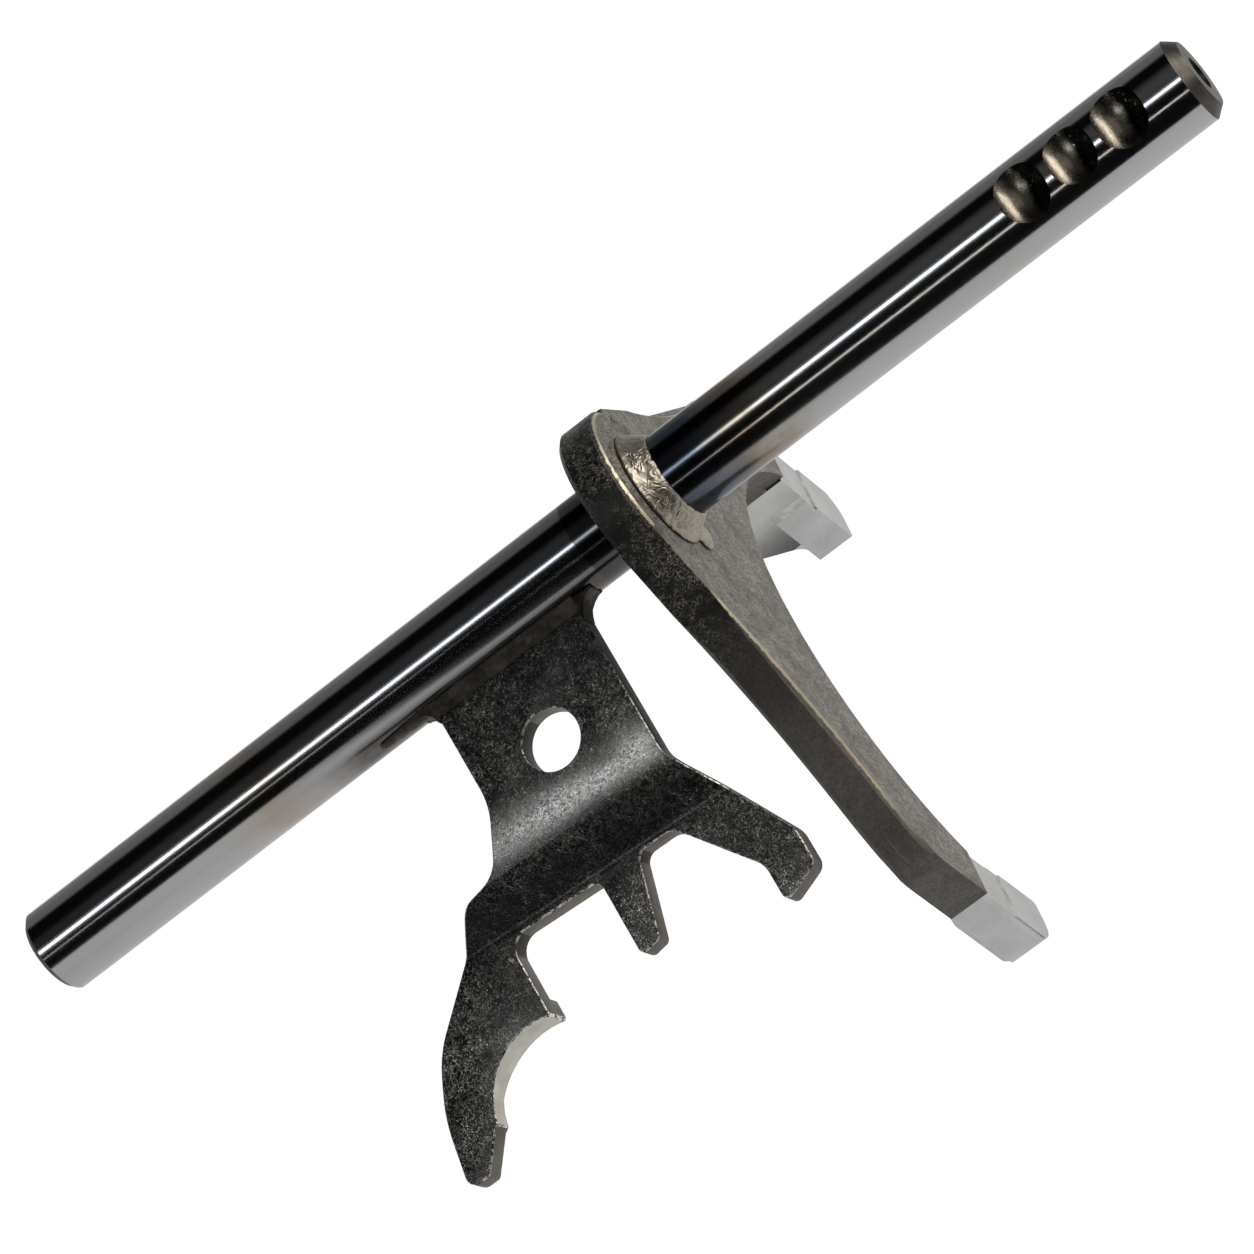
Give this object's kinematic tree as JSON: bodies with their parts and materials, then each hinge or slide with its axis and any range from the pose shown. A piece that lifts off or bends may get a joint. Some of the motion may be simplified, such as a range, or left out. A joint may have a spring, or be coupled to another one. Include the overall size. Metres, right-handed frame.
{
  "type": "transmission shift fork",
  "caption": "Ground shift rail with detent notches, a welded forged fork for a synchroniser sleeve, and a welded joggled gate plate with selector notch, tooth and hook.",
  "frame": {"origin": "on the rail's axis, in the middle of the fork's thickness", "axes": "+X along the rail towards the detent end, +Z away from the prongs, the gate plate lies towards -Y"},
  "size_m": [0.2525, 0.1341, 0.1109],
  "materials": {
    "rail_steel": "ground and polished",
    "fork_steel": "shot-blasted forging with machined ends",
    "gate_steel": "dark scaled forging",
    "weld_steel": "weld bead",
    "seam_steel": "dull weld seam"
  },
  "bodies": {
    "root": {"shift_rail": "rail_steel", "shift_fork": "fork_steel", "gate_plate": "gate_steel", "fork_weld": "weld_steel", "front_seam": "seam_steel", "back_seam": "seam_steel"}
  },
  "joints": []
}
